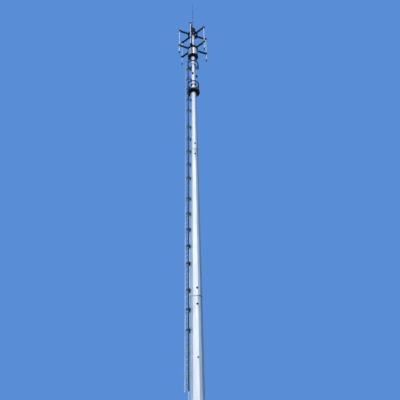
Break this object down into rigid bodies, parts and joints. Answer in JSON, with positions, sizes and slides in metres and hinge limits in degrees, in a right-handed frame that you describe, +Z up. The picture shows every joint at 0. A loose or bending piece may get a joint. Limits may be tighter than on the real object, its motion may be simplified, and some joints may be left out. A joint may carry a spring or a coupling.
{
  "type": "monopole cell tower",
  "caption": "Slim tapered sixteen-sided steel monopole with slip joints, climbing ladder, round collar platforms, radial arm frames carrying upright antenna pipes, and a lightning rod.",
  "frame": {"origin": "centre of the base flange's lower face, on the footing", "axes": "+Z up along the pole; -Y towards the side that the picture was taken from; the ladder is on the -X side, turned a little to -Y"},
  "size_m": [2.5714, 2.6996, 38.65],
  "materials": {
    "galvanised_steel": "weathered hot-dip galvanised steel",
    "ladder_steel": "dull galvanised steel",
    "dark_steel": "dark grey weathered steel",
    "rod_steel": "galvanised steel tube",
    "port_rubber": "matt black rubber"
  },
  "bodies": {
    "root": {"base_flange": "galvanised_steel", "base_gussets": "galvanised_steel", "lower_pole_section": "galvanised_steel", "middle_pole_section": "galvanised_steel", "top_pole_section": "galvanised_steel", "lower_joint_bosses": "dark_steel", "upper_joint_bosses": "dark_steel", "cable_port_collars": "dark_steel", "cable_port_plugs": "port_rubber", "pole_top_plate": "dark_steel", "lightning_rod_socket": "rod_steel", "lightning_rod_lower_mast": "rod_steel", "lightning_rod_upper_mast": "rod_steel", "ladder_section_1": "ladder_steel", "ladder_section_2": "ladder_steel", "ladder_section_3": "ladder_steel", "ladder_section_4": "ladder_steel", "ladder_brackets": "dark_steel", "rest_platform_collar": "dark_steel", "rest_platform_plate": "dark_steel", "rest_platform_posts": "dark_steel", "rest_platform_rail": "dark_steel", "guard_hoop": "dark_steel", "guard_hoop_legs": "dark_steel", "upper_platform_collar": "dark_steel", "upper_platform_plate": "dark_steel", "lower_frame_collar": "dark_steel", "lower_frame_ring": "dark_steel", "lower_frame_arms": "dark_steel", "upper_frame_collar": "dark_steel", "upper_frame_ring": "dark_steel", "upper_frame_arms": "dark_steel", "pipe_clamps": "dark_steel", "ladder_splices": "ladder_steel", "upper_platform_screen": "galvanised_steel", "upper_platform_struts": "dark_steel", "pipe_bottom_caps": "port_rubber", "antenna_pipe_1": "galvanised_steel", "antenna_pipe_2": "galvanised_steel", "antenna_pipe_3": "galvanised_steel", "antenna_pipe_4": "galvanised_steel", "antenna_pipe_5": "galvanised_steel", "antenna_pipe_6": "galvanised_steel"}
  },
  "joints": []
}
